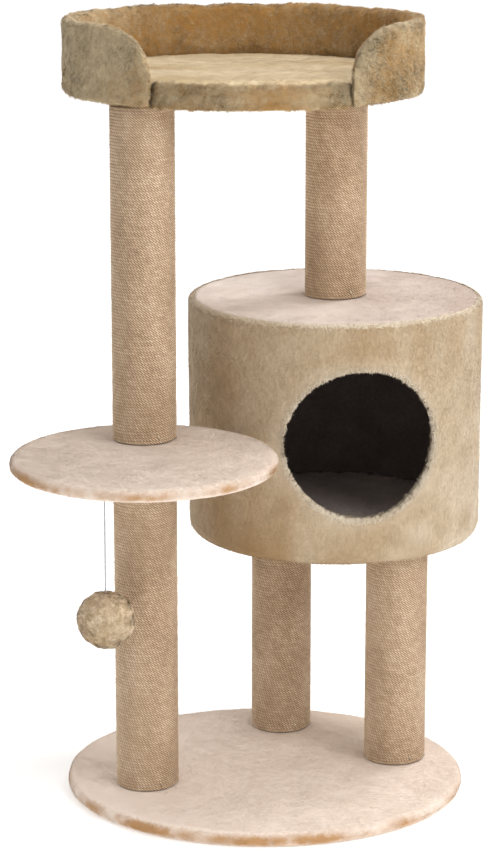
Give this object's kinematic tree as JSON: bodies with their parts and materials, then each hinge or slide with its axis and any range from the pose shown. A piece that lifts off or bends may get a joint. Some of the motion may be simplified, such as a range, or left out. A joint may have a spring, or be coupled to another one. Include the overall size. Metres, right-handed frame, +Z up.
{
  "type": "cat tree",
  "caption": "Plush-covered cat tree with rope-wound posts, a round perch with a hanging ball, a drum cabin with a round door and an open-fronted bed on top.",
  "frame": {"origin": "centre of the oval base plate's underside, on the floor", "axes": "+Z up along the posts, -Y towards the front, where the cabin door and the bed's opening face, +X to the right seen from the front"},
  "size_m": [0.5965, 0.628, 0.992],
  "materials": {
    "sisal_rope": "rough twisted fibre",
    "paper_tube": "matt spiral-wound paper",
    "turned_wood": "bare turned wood",
    "zinc_steel": "zinc plated",
    "staple_wire": "bright wire",
    "particle_board": "raw particle board",
    "bent_fibreboard": "smooth fibreboard",
    "deck_plush": "short pale plush",
    "side_plush": "short beige plush",
    "nest_plush": "soft pale plush",
    "upholstery_foam": "open-cell foam",
    "dark_lining": "dark brushed cloth",
    "underside_felt": "non-woven felt",
    "grey_cord": "braided elastic cord",
    "ball_yarn": "long soft pile"
  },
  "bodies": {
    "tree": {"left_lower_post_tube": "paper_tube", "left_lower_post_sisal": "sisal_rope", "left_lower_post_plugs": "turned_wood", "left_upper_post_tube": "paper_tube", "left_upper_post_sisal": "sisal_rope", "left_upper_post_plugs": "turned_wood", "back_lower_post_tube": "paper_tube", "back_lower_post_sisal": "sisal_rope", "back_lower_post_plugs": "turned_wood", "right_lower_post_tube": "paper_tube", "right_lower_post_sisal": "sisal_rope", "right_lower_post_plugs": "turned_wood", "right_upper_post_tube": "paper_tube", "right_upper_post_sisal": "sisal_rope", "right_upper_post_plugs": "turned_wood", "post_insert_nuts": "zinc_steel", "base_bolts": "zinc_steel", "base_washers": "zinc_steel", "perch_stud": "zinc_steel", "cabin_floor_bolts": "zinc_steel", "cabin_floor_washers": "zinc_steel", "cabin_roof_bolt": "zinc_steel", "cabin_roof_washer": "zinc_steel", "bed_bolts": "zinc_steel", "bed_washers": "zinc_steel", "cord_eye": "zinc_steel", "rope_staples": "staple_wire", "base_board": "particle_board", "perch_board": "particle_board", "cabin_floor_board": "particle_board", "cabin_roof_board": "particle_board", "bed_board": "particle_board", "cabin_wall_panel": "bent_fibreboard", "bed_wall_core": "bent_fibreboard", "base_cover": "deck_plush", "perch_cover": "deck_plush", "cabin_roof_cover": "deck_plush", "cabin_side_cover": "side_plush", "cabin_underside_cover": "side_plush", "bed_wall_cover": "side_plush", "cabin_door_edging": "side_plush", "bed_floor_cover": "nest_plush", "bed_floor_foam": "upholstery_foam", "cabin_wall_lining": "dark_lining", "cabin_ceiling_lining": "dark_lining", "cabin_floor_mat": "dark_lining", "base_felt": "underside_felt"},
    "hanger": {"cord_loop": "grey_cord"},
    "ball": {"cord": "grey_cord", "cord_end_knot": "grey_cord", "ball_core": "turned_wood", "ball_pile": "ball_yarn"}
  },
  "joints": [
    {"name": "ball_swing_sideways", "type": "hinge", "parent": "tree", "child": "hanger", "pos_m": [-0.197, -0.155, 0.4469], "axis": [0.4045, 0.9145, 0], "range_deg": [-60, 60]},
    {"name": "ball_swing_outward", "type": "hinge", "parent": "hanger", "child": "ball", "pos_m": [-0.197, -0.155, 0.4392], "axis": [-0.9145, 0.4045, 0], "range_deg": [-10, 60]}
  ]
}
